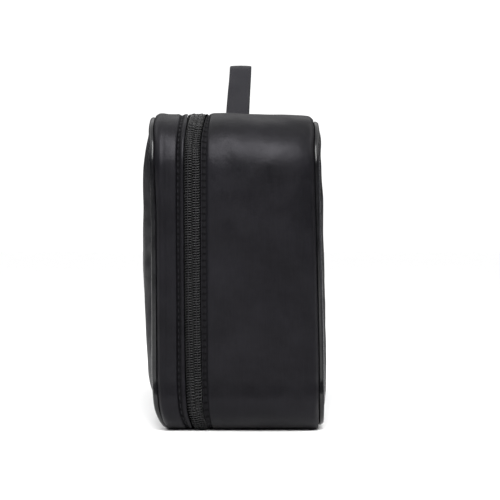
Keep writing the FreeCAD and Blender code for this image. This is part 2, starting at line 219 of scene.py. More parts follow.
def front_top(z):
    """The front seam stands forward at the top."""
    return -1.3 * MM * smooth(140 * MM, 180 * MM, z) - 1.1 * MM * smooth(185 * MM, 203 * MM, z)


def front_foot(x, z):
    """The front of the bag slumps back at its foot, most of all at its two ends."""
    ends = smooth(85 * MM, 125 * MM, np.abs(x))
    middle = 0.5 * MM * (1 - smooth(60 * MM, 160 * MM, z))
    edge = 4.5 * MM * ends * (1 - smooth(0, 19 * MM, z))
    slump = 2.6 * MM * (0.3 + 0.7 * ends) * (1 - smooth(0, 38 * MM, z))
    return middle + edge + slump


def front_lean(x, z):
    """How far the front seam leans at each place."""
    return front_top(z) + front_foot(x, z)


def rear_lean(z):
    """The rear seam leans back towards the foot."""
    foot = 0.8 * MM * (1 - smooth(0, 60 * MM, z))
    top = 1.2 * MM * smooth(185 * MM, 203 * MM, z)
    return 2.1 * MM - 4.9 * MM * z / TOP - foot + top


def skin(s, y, depth, follow=1.0):
    """Points on the bag at a depth inside its surface, which they follow wholly or in part."""
    s, y, depth = (a.astype(float).ravel() for a in np.broadcast_arrays(s, y, depth))
    x, z, nx, nz = outline(s)
    out = swell(s, y) * follow - depth
    points = np.stack([x + nx * out, y + lean(s, y), z + nz * out], axis=1)
    floor = 0.2 * MM + np.maximum(depth, 0) * (nz < -0.5)      # where the bag stands, layer by layer
    points[:, 2] = np.maximum(points[:, 2], floor)
    return points


# -------- mesh helpers
def make_mesh(name, points, faces, cloth=None):
    """A mesh object; cloth gives each point's place on the flat cloth, in metres."""
    mesh = bpy.data.meshes.new(name)
    mesh.from_pydata([tuple(p) for p in points], [], faces)
    mesh.update()
    if cloth is not None:
        layer = mesh.attributes.new("cloth", "FLOAT_VECTOR", "POINT")
        flat = np.zeros((len(points), 3), np.float32)
        flat[:, :2] = cloth
        layer.data.foreach_set("vector", flat.ravel())
    mesh.polygons.foreach_set("use_smooth", [True] * len(mesh.polygons))
    piece = bpy.data.objects.new(name, mesh)
    bpy.context.scene.collection.objects.link(piece)
    return piece


def tube_faces(rings, around, closed=False):
    """Faces of a tube made of rings of points: closed into a loop, or capped at both ends."""
    faces = []
    for i in range(rings if closed else rings - 1):
        a = i * around
        b = ((i + 1) % rings) * around
        for k in range(around):
            n = (k + 1) % around
            faces.append((a + k, a + n, b + n, b + k))
    if not closed:
        faces.append(tuple(range(around - 1, -1, -1)))
        last = (rings - 1) * around
        faces.append(tuple(last + k for k in range(around)))
    return faces


def soften(piece):
    """Rounds a piece with a subdivision surface."""
    modifier = piece.modifiers.new("soft", "SUBSURF")
    modifier.levels = 1
    modifier.render_levels = 1
    return piece


def sweep(name, profile, s_values, closed=False, rounded=True, shift=None):
    """A profile of (y, depth) carried round the bag's outline; shift moves its points along Y."""
    profile = np.asarray(profile, float)
    count = len(profile)
    s_all = np.repeat(s_values, count)
    y_all = np.tile(profile[:, 0], len(s_values))
    d_all = np.tile(profile[:, 1], len(s_values))
    moved = y_all + shift(s_all, y_all) if shift else y_all
    points = skin(s_all, moved, d_all)
    faces = tube_faces(len(s_values), count, closed)
    piece = make_mesh(name, points, faces, np.stack([s_all, y_all], axis=1))
    return soften(piece) if rounded else piece


def strip_profile(y_low, y_high, top, bottom, step, fine=()):
    """A flat strip's closed profile with rounded edges, with more points in the fine stretches."""
    radius = (bottom - top) / 2
    middle = (bottom + top) / 2
    count = max(2, round((y_high - y_low) / step))
    across = np.linspace(y_low + radius, y_high - radius, count + 1)
    for low, high, fine_step in fine:
        low = max(low, y_low + radius)
        high = min(high, y_high - radius)
        across = across[(across < low - fine_step / 2) | (across > high + fine_step / 2)]
        across = np.sort(np.concatenate([across, np.arange(low, high + fine_step / 2, fine_step)]))
    turns = [(radius * math.sin(a), radius * math.cos(a)) for a in (PI / 4, PI / 2, 3 * PI / 4)]
    profile = [(y, top) for y in across]
    profile += [(y_high - radius + out, middle - up) for out, up in turns]
    profile += [(y, bottom) for y in across[::-1]]
    profile += [(y_low + radius - out, middle + up) for out, up in turns]
    return profile


def along_zip(step, short=0.0):
    """Places along the zip, from one end under the bag round to the other, or short of both."""
    start = ZIP_START + short
    stop = ZIP_STOP - short
    return np.linspace(start, stop, round((stop - start) / step) + 1)


def all_round(step):
    """Places all the way round the outline, about a step apart."""
    count = round(GIRTH / step)
    return np.arange(count) * step * (GIRTH / (count * step))


def finish_piece(piece, body, slot, material, *nodes):
    """Material, body and the CAD nodes that the piece stands for; slot is not used."""
    piece.data.materials.append(material)
    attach(piece, body)
    if nodes:
        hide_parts(*nodes)
    return piece


# -------- materials
class Nodes:
    """The node tree of a material or world, with short calls to add and join its nodes."""

    def __init__(self, owner, shader="Principled BSDF"):
        owner.use_nodes = True
        self.owner = owner
        self.tree = owner.node_tree
        self.shader = self.tree.nodes[shader]

    def add(self, kind, inputs=(), **settings):
        node = self.tree.nodes.new("ShaderNode" + kind)
        for key, value in settings.items():
            setattr(node, key, value)
        for key, value in dict(inputs).items():
            if isinstance(value, bpy.types.NodeSocket):
                self.tree.links.new(value, node.inputs[key])
            else:
                node.inputs[key].default_value = value
        return node

    def math(self, operation, a, b=0.0):
        return self.add("Math", {0: a, 1: b}, operation=operation).outputs[0]

    def noise(self, vector, scale, detail=3.0, rough=0.55):
        inputs = {"Vector": vector, "Scale": scale, "Detail": detail, "Roughness": rough}
        return self.add("TexNoise", inputs).outputs["Fac"]

    def remap(self, value, low, high, to_low, to_high, kind="LINEAR"):
        inputs = {"Value": value, "From Min": low, "From Max": high, "To Min": to_low, "To Max": to_high}
        return self.add("MapRange", inputs, interpolation_type=kind).outputs["Result"]

    def mix(self, factor, a, b):
        node = self.add("Mix", data_type="RGBA")
        for key, value in ((0, factor), (6, a), (7, b)):
            if isinstance(value, bpy.types.NodeSocket):
                self.tree.links.new(value, node.inputs[key])
            else:
                node.inputs[key].default_value = value
        return node.outputs[2]

    def wire(self, output, name):
        self.tree.links.new(output, self.shader.inputs[name])

    def set(self, name, value):
        self.shader.inputs[name].default_value = value

    def bump(self, height, strength, distance, normal=None):
        inputs = {"Height": height, "Strength": strength, "Distance": distance}
        if normal is not None:
            inputs["Normal"] = normal
        return self.add("Bump", inputs).outputs["Normal"]


def weave_height(n, coords, pitch):
    """Height of a plain weave, from the flat cloth's own coordinates in metres."""
    split = n.add("SeparateXYZ", {"Vector": coords})
    across = n.math("MULTIPLY", split.outputs["X"], PI / pitch)
    down = n.math("MULTIPLY", split.outputs["Y"], PI / pitch)
    warp = n.math("SINE", across)
    weft = n.math("SINE", down)
    over = n.math("MULTIPLY", warp, weft)
    return n.math("ABSOLUTE", over)


def stitch_groove_and_shade(n, coords, row, phase):
    """Mask of a row of topstitching, 1 in a needle hole: sets its groove and the painted shade in groove
    and holes.
    """
    split = n.add("SeparateXYZ", {"Vector": coords})
    off = n.math("ABSOLUTE", n.math("SUBTRACT", split.outputs["Y"], row))
    line = n.remap(off, 0.4 * MM, 1.5 * MM, 0.6, 0)
    along = n.math("PINGPONG", n.math("SUBTRACT", split.outputs["X"], phase), STITCH_PITCH / 2)
    hole = n.math("SQRT", n.math("ADD", n.math("MULTIPLY", off, off), n.math("MULTIPLY", along, along)))
    return n.math("MAXIMUM", line, n.remap(hole, 0.6 * MM, 1.2 * MM, 1, 0))


def cloth_material(
    name, dark, light, rough, pitch, weave, specular, sheen=0.0, lumps=0.3, stitched=False, solid=False
):
    """Woven cloth: thread weave with painted shade between the threads, cloudy tone, slubs, dust-light
    fuzz and uneven gloss.

    pitch is the distance between threads, weave and lumps are how strong the threads and the
    soft bumps under them are; stitched adds the zip's topstitching, with painted shade in its
    grooves and needle holes, and solid is for pieces with no flat cloth coordinates of their own.
    """
    n = Nodes(bpy.data.materials.new(name))
    place = n.add("TexCoord").outputs["Object"]
    coords = place if solid else n.add("Attribute", attribute_name="cloth").outputs["Vector"]
    cloud = n.noise(place, 34, 4)
    slub = n.noise(n.add("Mapping", {"Vector": coords, "Scale": (90, 900, 1)}).outputs[0], 1.0, 2)
    tone = n.math("ADD", n.math("MULTIPLY", cloud, 0.75), n.math("MULTIPLY", slub, 0.25))
    colour = n.mix(n.remap(tone, 0.32, 0.68, 0, 1), (*dark, 1), (*light, 1))
    height = weave_height(n, coords, pitch)
    # painted shade: the colour darkens where the weave is low, between the threads
    threads = n.mix(n.remap(height, 0, 0.5, 0, 1), (*[c * 0.55 for c in dark], 1), colour)
    gloss = n.noise(place, 60, 3)
    ripple = n.bump(n.noise(place, 95, 3), lumps, 0.5 * MM)
    shine = n.remap(gloss, 0.3, 0.7, rough - 0.06, rough + 0.08)
    if stitched:
        first_hole = ZIP_START + STITCH_START - (STITCH_PITCH - STITCH_LONG) / 2
        front = stitch_groove_and_shade(n, coords, ZIP_Y - FRONT_STITCH, first_hole)
        rear = stitch_groove_and_shade(n, coords, ZIP_Y + REAR_STITCH, first_hole)
        groove = n.math("MAXIMUM", front, rear)
        # painted shade: the topstitching grooves and needle holes are coloured near-black
        threads = n.mix(groove, threads, (0.0004, 0.0004, 0.0005, 1))
        shine = n.math("ADD", shine, n.math("MULTIPLY", groove, 0.5))
        ripple = n.bump(n.math("SUBTRACT", 1.0, groove), 1.0, 0.9 * MM, ripple)
    n.wire(threads, "Base Color")
    n.wire(shine, "Roughness")
    n.wire(n.bump(height, weave, 0.12 * MM, ripple), "Normal")
    n.set("Specular IOR Level", specular)
    n.set("Specular Tint", (0.94, 0.92, 1.0, 1))
    n.set("Sheen Weight", sheen)
    n.set("Sheen Roughness", 0.45)
    n.set("Sheen Tint", (0.75, 0.78, 0.86, 1))
    return n.owner


def plastic_material(name, dark, light, rough, specular, coat=0.0, grain=0.2):
    """Moulded plastic with faint mottling, fine grain and scuffs."""
    n = Nodes(bpy.data.materials.new(name))
    place = n.add("TexCoord").outputs["Object"]
    tone = n.noise(place, 120, 4)
    n.wire(n.mix(n.remap(tone, 0.35, 0.65, 0, 1), (*dark, 1), (*light, 1)), "Base Color")
    scuff = n.noise(place, 420, 5, 0.65)
    n.wire(n.remap(scuff, 0.3, 0.75, rough - 0.05, rough + 0.12), "Roughness")
    n.wire(n.bump(n.noise(place, 900, 2), grain, 0.08 * MM), "Normal")
    n.set("Specular IOR Level", specular)
    n.set("Coat Weight", coat)
    n.set("Coat Roughness", 0.12)
    return n.owner


def foam_material(name):
    """Closed-cell foam: pale, dull, with fine open pores."""
    n = Nodes(bpy.data.materials.new(name))
    place = n.add("TexCoord").outputs["Object"]
    cells = n.add("TexVoronoi", {"Vector": place, "Scale": 900}).outputs["Distance"]
    tone = n.noise(place, 45, 3)
    colour = n.mix(n.remap(tone, 0.3, 0.7, 0, 1), (0.42, 0.42, 0.40, 1), (0.56, 0.56, 0.53, 1))
    n.wire(colour, "Base Color")
    n.wire(n.remap(tone, 0.3, 0.7, 0.85, 0.95), "Roughness")
    n.wire(n.bump(cells, 0.5, 0.3 * MM), "Normal")
    return n.owner


def metal_material(name):
    """Black enamelled zinc, worn to bare metal along its edges."""
    n = Nodes(bpy.data.materials.new(name))
    place = n.add("TexCoord").outputs["Object"]
    edge = n.add("NewGeometry").outputs["Pointiness"]
    chips = n.math("MULTIPLY", n.noise(place, 1500, 4), 0.06)
    wear = n.remap(n.math("ADD", edge, chips), 0.60, 0.66, 0, 1)
    n.wire(n.mix(wear, (0.012, 0.012, 0.013, 1), (0.10, 0.10, 0.105, 1)), "Base Color")
    n.wire(n.remap(wear, 0, 1, 0.0, 0.8), "Metallic")
    n.wire(n.remap(n.noise(place, 700, 3), 0.3, 0.7, 0.22, 0.36), "Roughness")
    n.wire(n.bump(n.noise(place, 1200, 2), 0.15, 0.05 * MM), "Normal")
    n.set("Coat Weight", 0.3)
    return n.owner


NYLON_DARK = (0.0014, 0.0013, 0.0019)
NYLON_LIGHT = (0.0080, 0.0077, 0.0097)
RIBBED_DARK = (0.014, 0.014, 0.016)
RIBBED_LIGHT = (0.024, 0.024, 0.027)
RIBBED = dict(rough=0.6, pitch=0.8 * MM, weave=0.8, specular=0.2, sheen=0.05)
FINE_WEAVE = 0.42 * MM

NYLON = cloth_material(
    "nylon_shell", NYLON_DARK, NYLON_LIGHT,
    rough=0.50, pitch=FINE_WEAVE, weave=0.16, specular=0.105, lumps=0.5,
)
BAND = cloth_material(
    "nylon_band", NYLON_DARK, NYLON_LIGHT,
    rough=0.37, pitch=FINE_WEAVE, weave=0.16, specular=0.145, lumps=0.7, stitched=True,
)
LINING = cloth_material(
    "lining_cloth", (0.018, 0.018, 0.020), (0.030, 0.030, 0.033),
    rough=0.5, pitch=0.5 * MM, weave=0.3, specular=0.25, sheen=0.05,
)
STRAP = cloth_material(
    "strap_cloth", (0.0060, 0.0058, 0.0078), (0.0100, 0.0097, 0.0128),
    rough=0.5, pitch=FINE_WEAVE, weave=0.35, specular=0.17, sheen=0.025,
)
TAPE = cloth_material(
    "zip_tape_cloth", (0.001, 0.001, 0.0012), (0.003, 0.003, 0.0034),
    rough=0.7, pitch=0.6 * MM, weave=0.7, specular=0.08,
)
BINDING = cloth_material("binding_cloth", RIBBED_DARK, RIBBED_LIGHT, **RIBBED)
PATCH = cloth_material("patch_cloth", RIBBED_DARK, RIBBED_LIGHT, **RIBBED, solid=True)
COIL_THREAD = cloth_material(
    "coil_thread", (0.007, 0.007, 0.0075), (0.014, 0.014, 0.015),
    rough=0.45, pitch=0.3 * MM, weave=0.5, specular=0.24,
)
THREAD = cloth_material(
    "thread", (0.005, 0.005, 0.006), (0.010, 0.010, 0.0115),
    rough=0.5, pitch=0.25 * MM, weave=0.6, specular=0.25, sheen=0.04,
)
PIPING = plastic_material(
    "piping_vinyl", (0.003, 0.003, 0.0034), (0.006, 0.006, 0.007), rough=0.18, specular=0.28, coat=0.1
)
COIL = plastic_material(
    "coil_nylon", (0.002, 0.002, 0.0022), (0.005, 0.005, 0.0056), rough=0.28, specular=0.34
)
BOARD = plastic_material("board_plastic", (0.55, 0.55, 0.53), (0.62, 0.62, 0.60), rough=0.5, specular=0.4)
FOAM = foam_material("foam_sheet")
METAL = metal_material("slider_enamel")


# -------- gussets, tape, piping
SEAM_TUCK = 0.2 * MM        # the cloth stops this far from the seam's middle
SEAM_PAD = 3.0 * MM         # the foam stops this much short of the cloth, clear of the sewing
HEM_PAD = 5.0 * MM          # and this much short of the zip, clear of the topstitching
CLOTH_AT = (0, 1.0 * MM)    # depths of each layer's outer and inner sides
FOAM_AT = (1.1 * MM, 3.2 * MM)
LINING_AT = (3.5 * MM, 4.0 * MM)
BOTTOM_FOAM_AT = (1.1 * MM, 3.4 * MM)
BOTTOM_LINING_AT = (4.8 * MM, 5.3 * MM)
BAND_STEP = 3.2 * MM        # between the points along and across the bands


def tuck(s, y):
    """How the folded edges close in on the teeth, most of all down the bag's two ends."""
    nx = outline(s)[2]
    off = y - ZIP_Y
    near = 1 - smooth(FOLD, FOLD + 2.5 * MM, np.abs(off))
    return -np.sign(off) * (0.6 + 0.9 * smooth(0.3, 0.9, np.abs(nx))) * MM * near


def gusset_layers():
    """The padded bands each side of the zip: cloth, foam and lining."""
    rear_edge = REAR_SEAM - SEAM_TUCK
    front_edge = FRONT_SEAM + SEAM_TUCK
    places = along_zip(BAND_STEP)
    hem_reach = FRONT_STITCH + 4 * MM
    fine = [
        (ZIP_Y - hem_reach, ZIP_Y + hem_reach, 0.75 * MM),
        (REAR_SEAM - 10 * MM, REAR_SEAM, 1.0 * MM),
        (FRONT_SEAM, FRONT_SEAM + 6 * MM, 0.8 * MM),
    ]
    rows = [
        ("rear_gusset", ZIP_Y + FOLD, rear_edge, "main_body"),
        ("front_gusset", front_edge, ZIP_Y - FOLD, "lid"),
    ]
    for node, y_low, y_high, body in rows:
        outer = strip_profile(y_low, y_high, *CLOTH_AT, BAND_STEP, fine)
        cloth = sweep(node + "_cloth", outer, places, shift=tuck)
        finish_piece(cloth, body, "shell_fabric", BAND, node)
        foam_low = y_low + (HEM_PAD if body == "main_body" else SEAM_PAD)
        foam_high = y_high - (HEM_PAD if body == "lid" else SEAM_PAD)
        padding = strip_profile(foam_low, foam_high, *FOAM_AT, 6 * MM)
        foam = sweep(node + "_padding", padding, along_zip(BAND_STEP, SEAM_PAD), rounded=False)
        finish_piece(foam, body, "foam", FOAM, node + "_foam")
        inner = strip_profile(y_low, y_high, *LINING_AT, 5 * MM)
        lining = sweep(node + "_inside", inner, places)
        finish_piece(lining, body, "lining_fabric", LINING, node + "_lining")


def bottom_layers():
    """The bottom piece between the zip's ends; its board, over the foam, is the CAD's own."""
    y_low = FRONT_SEAM + SEAM_TUCK
    y_high = REAR_SEAM - SEAM_TUCK
    places = np.linspace(-ZIP_END, ZIP_END, 56)
    outer = strip_profile(y_low, y_high, *CLOTH_AT, 4 * MM)
    cloth = sweep("bottom_cloth", outer, places)
    finish_piece(cloth, "main_body", "shell_fabric", NYLON, "bottom_gusset")
    padding = strip_profile(y_low + SEAM_PAD, y_high - SEAM_PAD, *BOTTOM_FOAM_AT, 6 * MM)
    foam = sweep("bottom_padding", padding, places[1:-1], rounded=False)
    finish_piece(foam, "main_body", "foam", FOAM, "bottom_foam")
    past_end = np.array([0.1 * MM, 1.2 * MM])
    reach = np.concatenate([-ZIP_END - past_end[::-1], places, ZIP_END + past_end])
    inner = strip_profile(y_low, y_high, *BOTTOM_LINING_AT, 5 * MM)
    lining = sweep("bottom_inside", inner, reach)
    turn_down_ends(lining)
    finish_piece(lining, "main_body", "lining_fabric", LINING, "bottom_lining")


def turn_down_ends(lining):
    """Turns the underside of the bottom lining's two ends down over the ends of the board."""
    middle = sum(BOTTOM_LINING_AT) / 2
    for corner in lining.data.vertices:
        past = abs(corner.co.x) > ZIP_END + 0.02 * MM
        if past and corner.co.z < middle:
            corner.co.z -= 0.7 * MM


PIPING_RADIUS = 2.2 * MM
PIPING_SIDES = 14
BINDING_TOP = 4.2 * MM      # depth of the binding's outer edge, just inside the linings
BINDING_DEEP = 8 * MM


def piping_and_binding():
    """A glossy cord sunk in each seam, and the ribbed tape over the raw edges inside."""
    rows = [
        ("front", FRONT_SEAM, -1, 1.6 * MM, "lid"),
        ("rear", REAR_SEAM, 1, 3.6 * MM, "main_body"),
    ]
    for side, seam, outward, sunk, body in rows:
        cord = piping_ring(side + "_piping_cord", seam + outward * 1.3 * MM, PIPING_RADIUS + sunk)
        finish_piece(cord, body, "piping", PIPING, side + "_piping")
        half = 0.9 * MM
        tape = strip_profile(seam - half, seam + half, BINDING_TOP, BINDING_TOP + BINDING_DEEP, half)
        binding = sweep(side + "_binding_tape", tape, all_round(4 * MM), closed=True, rounded=False)
        finish_piece(binding, body, "binding_tape", BINDING, side + "_seam_binding")


def piping_ring(name, y, depth):
    """The cord's ring; it keeps its round section, and lies on the floor along the bottom."""
    places = all_round(2.6 * MM)
    core = skin(places, y, depth, 0.5)
    _, z, nx, nz = outline(places)
    spread = 0.5 * foot_spread(z, nx, nz)
    core[:, 0] += nx * spread
    core[:, 2] = np.maximum(core[:, 2] + nz * spread, PIPING_RADIUS + 0.1 * MM)
    points = []
    flat = []
    for k, place in enumerate(places):
        for j in range(PIPING_SIDES):
            a = 2 * PI * j / PIPING_SIDES
            dy = PIPING_RADIUS * math.cos(a)
            dd = PIPING_RADIUS * math.sin(a)
            points.append((core[k, 0] - nx[k] * dd, core[k, 1] + dy, core[k, 2] - nz[k] * dd))
            flat.append((place, PIPING_RADIUS * a))
    faces = tube_faces(len(places), PIPING_SIDES, closed=True)
    return make_mesh(name, points, faces, np.array(flat))


TAPE_TOP = 2.0 * MM         # depth of the tape's upper side
TAPE_THICK = 0.6 * MM
TAPE_REACH = 13 * MM        # from the zip's middle to the tape's far edge
TEETH_GAP = 0.7 * MM        # and to its near edge, under the teeth
SLIDER_TRAVEL = 105 * MM
COIL_PITCH = SLIDER_TRAVEL / 64             # a whole number of teeth in the travel
WIRE = 0.31 * MM            # radius of the teeth's wire
THREAD_RADIUS = 0.24 * MM
WIRE_SIDES = 6              # of a wire's or stitch's round section


def zip_tapes():
    """The two woven tapes under the teeth."""
    rows = [
        ("rear", ZIP_Y + TEETH_GAP, ZIP_Y + TAPE_REACH, "main_body"),
        ("front", ZIP_Y - TAPE_REACH, ZIP_Y - TEETH_GAP, "lid"),
    ]
    for side, y_low, y_high, body in rows:
        profile = strip_profile(y_low, y_high, TAPE_TOP, TAPE_TOP + TAPE_THICK, 3 * MM)
        tape = sweep(side + "_tape", profile, along_zip(4 * MM))
        finish_piece(tape, body, "zip_tape", TAPE, side + "_zip_tape")


def wire_mesh(name, sides, s, y):
    """A wire along the zip, from the lines of points that run along its sides."""
    points = np.stack(sides, axis=1).reshape(-1, 3)
    cloth = np.stack([np.repeat(s, len(sides)), np.repeat(y, len(sides))], axis=1)
    return make_mesh(name, points, tube_faces(len(s), len(sides)), cloth)


def coil(side, outward, body, phase):
    """One half of the zip's teeth: a flattened spiral of nylon wire along the tape's edge."""
    half_wide = 2.7 * MM
    half_high = 0.78 * MM
    centre_y = ZIP_Y + outward * 2.25 * MM
    centre_d = TAPE_TOP - half_high - WIRE
    turns = int((ZIP_STOP - ZIP_START) / COIL_PITCH) - 1
    steps = 12
    t = np.arange(turns * steps + 1) * (2 * PI / steps)
    # the wire crosses the tape square-on, and moves along the zip in its outer turns
    speed = (1 + outward * np.sin(t + PI / steps)) ** 3
    turns_done = np.concatenate([[0], np.cumsum(speed[:-1])])
    s = ZIP_START + COIL_PITCH * (0.5 + phase + turns_done / speed[:steps].sum())
    across = np.sin(t)
    flat = np.sign(across) * np.abs(across) ** 0.7
    rise = np.cos(t)
    high = np.sign(rise) * np.abs(rise) ** 0.6
    y = centre_y + half_wide * flat
    head = hill(ZIP_Y, 1.4 * MM, y) * 0.25 * MM
    depth = centre_d - half_high * high - head * (high > 0)
    path = skin(s, y, depth)
    ahead = np.gradient(path, axis=0)
    ahead /= np.linalg.norm(ahead, axis=1, keepdims=True)
    first = np.cross(ahead, normals(s))
    short = np.linalg.norm(first, axis=1, keepdims=True)
    first = first / np.maximum(short, 1e-6)
    second = np.cross(ahead, first)
    sides = []
    for k in range(WIRE_SIDES):
        a = 2 * PI * k / WIRE_SIDES
        sides.append(path + WIRE * (math.cos(a) * first + math.sin(a) * second))
    piece = wire_mesh(side + "_coil_teeth", sides, s, y)
    finish_piece(piece, body, "zip_coil", COIL, side + "_zip_coil")


def coil_thread(side, outward, body, phase):
    """The sewing thread that holds a half of the teeth down to its tape, riding over each tooth."""
    s = np.arange(ZIP_START + COIL_PITCH, ZIP_STOP - COIL_PITCH, COIL_PITCH / 6)
    ride = 0.10 * MM * np.cos(2 * PI * ((s - ZIP_START) / COIL_PITCH - phase))
    y = ZIP_Y + outward * 2.6 * MM + 0.06 * MM * np.sin(s / (2.1 * MM))
    sides = []
    for k in range(WIRE_SIDES):
        a = 2 * PI * k / WIRE_SIDES
        lift = THREAD_RADIUS * math.sin(a)
        sides.append(skin(s, y + THREAD_RADIUS * math.cos(a), -THREAD_RADIUS - ride - lift))
    piece = wire_mesh(side + "_coil_thread", sides, s, y)
    finish_piece(piece, body, "zip_tape", COIL_THREAD)


def add_stitch(points, faces, flat, core, up, across, radii, places):
    """Adds one stitch to lists of points, faces and flat places: a ring round each core point."""
    base = len(points)
    for i, (along, off) in enumerate(places):
        for j in range(WIRE_SIDES):
            a = 2 * PI * j / WIRE_SIDES
            high = radii[i] * math.sin(a)
            wide = radii[i] * math.cos(a)
            points.append(core[i] + up[i] * high + across[i] * wide)
            flat.append((along, off + wide))
    for face in tube_faces(len(core), WIRE_SIDES):
        faces.append(tuple(base + v for v in face))


def stitch_row(name, y, body):
    """A row of thread stitches along the zip, each with both ends sunk into the cloth."""
    start = ZIP_START + STITCH_START
    stop = ZIP_STOP - STITCH_START
    count = int((stop - start) / STITCH_PITCH)
    rings = 7
    points = []
    faces = []
    flat = []
    t = np.linspace(0, 1, rings)
    arch = np.sin(PI * t) ** 0.5
    radii = 0.27 * MM * (0.35 + 0.65 * arch)
    across = np.tile([0.0, 1.0, 0.0], (rings, 1))
    for k in range(count):
        s = start + k * STITCH_PITCH + t * STITCH_LONG
        core = skin(s, y, 0.35 * MM - 0.50 * MM * arch)
        add_stitch(points, faces, flat, core, normals(s), across, radii, [(place, y) for place in s])
    piece = make_mesh(name, points, faces, np.array(flat))
    finish_piece(piece, body, "shell_fabric", THREAD)


def zip_stitching():
    """Two rows of topstitching beside the zip."""
    stitch_row("front_topstitch", ZIP_Y - FRONT_STITCH, "lid")
    stitch_row("rear_topstitch", ZIP_Y + REAR_STITCH, "main_body")


# -------- crowned panels
PANEL_STEP = 4.0 * MM
PANEL_CLOTH_AT = (0, 0.9 * MM)
PANEL_FOAM_AT = (1.1 * MM, 3.0 * MM)
PANEL_EDGE = 1.9 * MM       # how far the panel's edge stands outside its seam
CROWN_RUN = 50 * MM         # from the edge to where the crown is at its full height
DRAPE_FRAMES = 24
DRAPE_SLACK = 0.010         # share by which the cloth is cut larger than its place
DRAPE_REACH = 3.0 * MM      # the furthest that any point may settle


def round_corners(a, b):
    """Moves a point of the square-cornered panel into the round-cornered one."""
    u = (np.abs(a) - (HALF - CORNER)) / CORNER
    v = (np.abs(b) - (TOP / 2 - CORNER)) / CORNER
    corner = (u > 0) & (v > 0)
    u_in = np.where(corner, u * np.sqrt(np.clip(1 - v * v / 2, 0, 1)), u)
    v_in = np.where(corner, v * np.sqrt(np.clip(1 - u * u / 2, 0, 1)), v)
    x = np.where(corner, np.sign(a) * (HALF - CORNER + CORNER * u_in), a)
    z = np.where(corner, np.sign(b) * (TOP / 2 - CORNER + CORNER * v_in), b)
    return x, z


def inside_by(x, z):
    """How far a point of the panel lies inside its round-cornered edge."""
    dx = np.abs(x) - (HALF - CORNER)
    dz = np.abs(z) - (TOP / 2 - CORNER)
    out = np.hypot(np.maximum(dx, 0), np.maximum(dz, 0)) + np.minimum(np.maximum(dx, dz), 0)
    return CORNER - out


def panel_rest(crown, outward, seam, fullness, flare, lean_of, inset):
    """The crowned panel as cut and sewn: its points, their flat places and distances inside.

    flare is how much the crown flattens towards the panel's ends, and inset is how much the
    seam takes in all round.
    """
    columns = round(2 * HALF / PANEL_STEP)
    rows = round(TOP / PANEL_STEP)
    a, b = np.meshgrid(np.linspace(-HALF, HALF, columns + 1), np.linspace(-TOP / 2, TOP / 2, rows + 1))
    x, z = round_corners(a, b)
    height = z + TOP / 2
    inside = np.clip(inside_by(x, z), 0, None)
    t = np.clip(inside / CROWN_RUN, 0, 1)
    full = fullness(height / TOP) * (1 - flare * (x / HALF) ** 2)
    rise = np.sqrt(1 - (1 - t) ** 2) * crown * full
    y = seam + outward * (PANEL_EDGE + rise) + lean_of(x, height)
    right = np.clip(np.abs(x) - HALF_RUN, 0, None)
    down = np.clip(CORNER - height, 0, None)
    far = np.maximum(np.hypot(right, down), 1e-9)
    spread = 0.6 * foot_spread(height, right / far, -down / far) * (far / CORNER) ** 2
    x = x * (1 - inset / HALF) + np.sign(x) * spread * right / far
    points = np.stack([x, y, TOP / 2 + z * (1 - 2 * inset / TOP) - spread * down / far], axis=-1)
    return points, np.stack([a, b], axis=-1), inside


def grid_faces(rows, columns):
    """Four-sided faces between the points of a grid."""
    faces = []
    for i in range(rows - 1):
        for j in range(columns - 1):
            a = i * columns + j
            faces.append((a, a + 1, a + columns + 1, a + columns))
    return faces


def drape(points, inside, outward):
    """Lets the panel's cloth settle under light pressure, sewn down along its edge."""
    rows, columns = points.shape[:2]
    piece = make_mesh("cloth_trial", points.reshape(-1, 3), grid_faces(rows, columns))
    group = piece.vertex_groups.new(name="sewn")
    edge = np.flatnonzero(inside.ravel() < 1.5 * MM)
    group.add([int(k) for k in edge], 1.0, "REPLACE")
    cloth = piece.modifiers.new("cloth", "CLOTH")
    settings = cloth.settings
    settings.quality = 6
    settings.mass = 0.25
    settings.tension_stiffness = 25
    settings.compression_stiffness = 25
    settings.shear_stiffness = 8
    settings.bending_stiffness = 0.8
    settings.tension_damping = 15
    settings.compression_damping = 15
    settings.bending_damping = 1.5
    settings.vertex_group_mass = "sewn"
    settings.shrink_min = -DRAPE_SLACK
    cloth.point_cache.frame_start = 1
    cloth.point_cache.frame_end = DRAPE_FRAMES
    scene = bpy.context.scene
    scene.gravity = (0, outward * 4.0, -3.0)
    for number in range(1, DRAPE_FRAMES + 1):
        scene.frame_set(number)
    graph = bpy.context.evaluated_depsgraph_get()
    settled = piece.evaluated_get(graph).to_mesh()
    found = np.zeros(len(settled.vertices) * 3)
    settled.vertices.foreach_get("co", found)
    found = found.reshape(rows, columns, 3)
    bpy.data.objects.remove(piece)
    scene.frame_set(1)
    scene.gravity = (0, 0, -9.81)
    move = found - points
    size = np.linalg.norm(move, axis=-1, keepdims=True)
    return points + move * np.minimum(1, DRAPE_REACH / np.maximum(size, 1e-9))


def panel_normals(points):
    """Unit normals of the grid."""
    across = np.gradient(points, axis=1)
    up = np.gradient(points, axis=0)
    normal = np.cross(across, up)
    return normal / np.maximum(np.linalg.norm(normal, axis=-1, keepdims=True), 1e-9)


